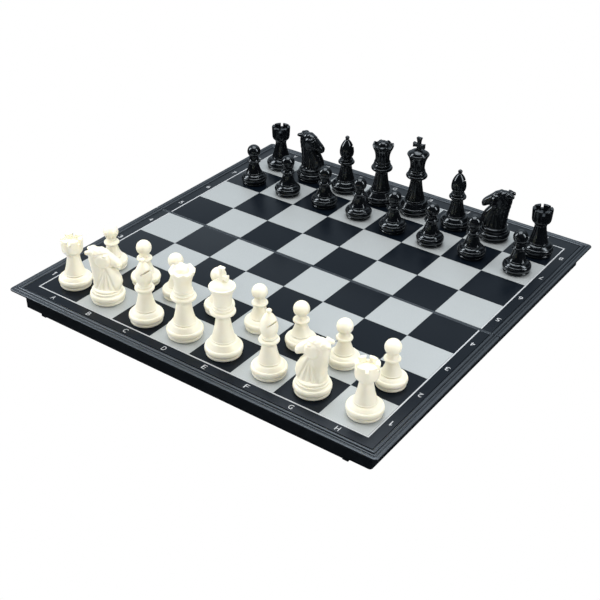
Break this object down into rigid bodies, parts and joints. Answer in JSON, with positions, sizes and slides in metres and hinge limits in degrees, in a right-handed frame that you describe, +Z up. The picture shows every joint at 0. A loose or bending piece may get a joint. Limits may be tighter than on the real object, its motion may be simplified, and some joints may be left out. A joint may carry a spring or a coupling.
{
  "type": "folding magnetic chess set",
  "caption": "Folding travel chess board laid open, two hinged trays with silver and black squares, and a full set of magnetic chessmen that lift off.",
  "frame": {"origin": "on the table under the middle of the seam between the two half boards", "axes": "+X along the seam from the a file to the h file, +Y from white's side to black's side, +Z up"},
  "size_m": [0.3592, 0.3622, 0.0963],
  "materials": {
    "tray_black": "satin moulded",
    "panel_black": "printed satin sheet",
    "silver_foil": "matt silver foil print",
    "silver_line": "bright silver print",
    "sheet_steel": "rolled",
    "pin_steel": "drawn",
    "ivory_plastic": "satin moulded",
    "jet_plastic": "gloss moulded"
  },
  "bodies": {
    "near_half": {"near_tray": "tray_black", "near_panel": "panel_black", "near_steel_sheet": "sheet_steel", "near_silver_squares": "silver_foil", "near_border_line": "silver_line", "left_hinge_pin": "pin_steel", "right_hinge_pin": "pin_steel"},
    "far_half": {"far_tray": "tray_black", "far_panel": "panel_black", "far_steel_sheet": "sheet_steel", "far_silver_squares": "silver_foil", "far_border_line": "silver_line"},
    "white_rook_a1": {"white_rook_a1": "ivory_plastic"},
    "white_knight_b1": {"white_knight_b1": "ivory_plastic"},
    "white_bishop_c1": {"white_bishop_c1": "ivory_plastic"},
    "white_queen_d1": {"white_queen_d1": "ivory_plastic"},
    "white_king_e1": {"white_king_e1": "ivory_plastic"},
    "white_bishop_f1": {"white_bishop_f1": "ivory_plastic"},
    "white_knight_g1": {"white_knight_g1": "ivory_plastic"},
    "white_rook_h1": {"white_rook_h1": "ivory_plastic"},
    "white_pawn_a2": {"white_pawn_a2": "ivory_plastic"},
    "white_pawn_b2": {"white_pawn_b2": "ivory_plastic"},
    "white_pawn_c2": {"white_pawn_c2": "ivory_plastic"},
    "white_pawn_d2": {"white_pawn_d2": "ivory_plastic"},
    "white_pawn_e2": {"white_pawn_e2": "ivory_plastic"},
    "white_pawn_f2": {"white_pawn_f2": "ivory_plastic"},
    "white_pawn_g2": {"white_pawn_g2": "ivory_plastic"},
    "white_pawn_h2": {"white_pawn_h2": "ivory_plastic"},
    "black_rook_a8": {"black_rook_a8": "jet_plastic"},
    "black_knight_b8": {"black_knight_b8": "jet_plastic"},
    "black_bishop_c8": {"black_bishop_c8": "jet_plastic"},
    "black_queen_d8": {"black_queen_d8": "jet_plastic"},
    "black_king_e8": {"black_king_e8": "jet_plastic"},
    "black_bishop_f8": {"black_bishop_f8": "jet_plastic"},
    "black_knight_g8": {"black_knight_g8": "jet_plastic"},
    "black_rook_h8": {"black_rook_h8": "jet_plastic"},
    "black_pawn_a7": {"black_pawn_a7": "jet_plastic"},
    "black_pawn_b7": {"black_pawn_b7": "jet_plastic"},
    "black_pawn_c7": {"black_pawn_c7": "jet_plastic"},
    "black_pawn_d7": {"black_pawn_d7": "jet_plastic"},
    "black_pawn_e7": {"black_pawn_e7": "jet_plastic"},
    "black_pawn_f7": {"black_pawn_f7": "jet_plastic"},
    "black_pawn_g7": {"black_pawn_g7": "jet_plastic"},
    "black_pawn_h7": {"black_pawn_h7": "jet_plastic"}
  },
  "joints": [
    {"name": "board_fold", "type": "hinge", "parent": "near_half", "child": "far_half", "pos_m": [0, 0, 0.0016], "axis": [-1, 0, 0], "range_deg": [0, 180]},
    {"name": "lift_white_rook_a1", "type": "slide", "parent": "near_half", "child": "white_rook_a1", "axis": [0, 0, 1], "range_m": [0, 0.1]},
    {"name": "lift_white_knight_b1", "type": "slide", "parent": "near_half", "child": "white_knight_b1", "axis": [0, 0, 1], "range_m": [0, 0.1]},
    {"name": "lift_white_bishop_c1", "type": "slide", "parent": "near_half", "child": "white_bishop_c1", "axis": [0, 0, 1], "range_m": [0, 0.1]},
    {"name": "lift_white_queen_d1", "type": "slide", "parent": "near_half", "child": "white_queen_d1", "axis": [0, 0, 1], "range_m": [0, 0.1]},
    {"name": "lift_white_king_e1", "type": "slide", "parent": "near_half", "child": "white_king_e1", "axis": [0, 0, 1], "range_m": [0, 0.1]},
    {"name": "lift_white_bishop_f1", "type": "slide", "parent": "near_half", "child": "white_bishop_f1", "axis": [0, 0, 1], "range_m": [0, 0.1]},
    {"name": "lift_white_knight_g1", "type": "slide", "parent": "near_half", "child": "white_knight_g1", "axis": [0, 0, 1], "range_m": [0, 0.1]},
    {"name": "lift_white_rook_h1", "type": "slide", "parent": "near_half", "child": "white_rook_h1", "axis": [0, 0, 1], "range_m": [0, 0.1]},
    {"name": "lift_white_pawn_a2", "type": "slide", "parent": "near_half", "child": "white_pawn_a2", "axis": [0, 0, 1], "range_m": [0, 0.1]},
    {"name": "lift_white_pawn_b2", "type": "slide", "parent": "near_half", "child": "white_pawn_b2", "axis": [0, 0, 1], "range_m": [0, 0.1]},
    {"name": "lift_white_pawn_c2", "type": "slide", "parent": "near_half", "child": "white_pawn_c2", "axis": [0, 0, 1], "range_m": [0, 0.1]},
    {"name": "lift_white_pawn_d2", "type": "slide", "parent": "near_half", "child": "white_pawn_d2", "axis": [0, 0, 1], "range_m": [0, 0.1]},
    {"name": "lift_white_pawn_e2", "type": "slide", "parent": "near_half", "child": "white_pawn_e2", "axis": [0, 0, 1], "range_m": [0, 0.1]},
    {"name": "lift_white_pawn_f2", "type": "slide", "parent": "near_half", "child": "white_pawn_f2", "axis": [0, 0, 1], "range_m": [0, 0.1]},
    {"name": "lift_white_pawn_g2", "type": "slide", "parent": "near_half", "child": "white_pawn_g2", "axis": [0, 0, 1], "range_m": [0, 0.1]},
    {"name": "lift_white_pawn_h2", "type": "slide", "parent": "near_half", "child": "white_pawn_h2", "axis": [0, 0, 1], "range_m": [0, 0.1]},
    {"name": "lift_black_rook_a8", "type": "slide", "parent": "far_half", "child": "black_rook_a8", "axis": [0, 0, 1], "range_m": [0, 0.1]},
    {"name": "lift_black_knight_b8", "type": "slide", "parent": "far_half", "child": "black_knight_b8", "axis": [0, 0, 1], "range_m": [0, 0.1]},
    {"name": "lift_black_bishop_c8", "type": "slide", "parent": "far_half", "child": "black_bishop_c8", "axis": [0, 0, 1], "range_m": [0, 0.1]},
    {"name": "lift_black_queen_d8", "type": "slide", "parent": "far_half", "child": "black_queen_d8", "axis": [0, 0, 1], "range_m": [0, 0.1]},
    {"name": "lift_black_king_e8", "type": "slide", "parent": "far_half", "child": "black_king_e8", "axis": [0, 0, 1], "range_m": [0, 0.1]},
    {"name": "lift_black_bishop_f8", "type": "slide", "parent": "far_half", "child": "black_bishop_f8", "axis": [0, 0, 1], "range_m": [0, 0.1]},
    {"name": "lift_black_knight_g8", "type": "slide", "parent": "far_half", "child": "black_knight_g8", "axis": [0, 0, 1], "range_m": [0, 0.1]},
    {"name": "lift_black_rook_h8", "type": "slide", "parent": "far_half", "child": "black_rook_h8", "axis": [0, 0, 1], "range_m": [0, 0.1]},
    {"name": "lift_black_pawn_a7", "type": "slide", "parent": "far_half", "child": "black_pawn_a7", "axis": [0, 0, 1], "range_m": [0, 0.1]},
    {"name": "lift_black_pawn_b7", "type": "slide", "parent": "far_half", "child": "black_pawn_b7", "axis": [0, 0, 1], "range_m": [0, 0.1]},
    {"name": "lift_black_pawn_c7", "type": "slide", "parent": "far_half", "child": "black_pawn_c7", "axis": [0, 0, 1], "range_m": [0, 0.1]},
    {"name": "lift_black_pawn_d7", "type": "slide", "parent": "far_half", "child": "black_pawn_d7", "axis": [0, 0, 1], "range_m": [0, 0.1]},
    {"name": "lift_black_pawn_e7", "type": "slide", "parent": "far_half", "child": "black_pawn_e7", "axis": [0, 0, 1], "range_m": [0, 0.1]},
    {"name": "lift_black_pawn_f7", "type": "slide", "parent": "far_half", "child": "black_pawn_f7", "axis": [0, 0, 1], "range_m": [0, 0.1]},
    {"name": "lift_black_pawn_g7", "type": "slide", "parent": "far_half", "child": "black_pawn_g7", "axis": [0, 0, 1], "range_m": [0, 0.1]},
    {"name": "lift_black_pawn_h7", "type": "slide", "parent": "far_half", "child": "black_pawn_h7", "axis": [0, 0, 1], "range_m": [0, 0.1]}
  ]
}
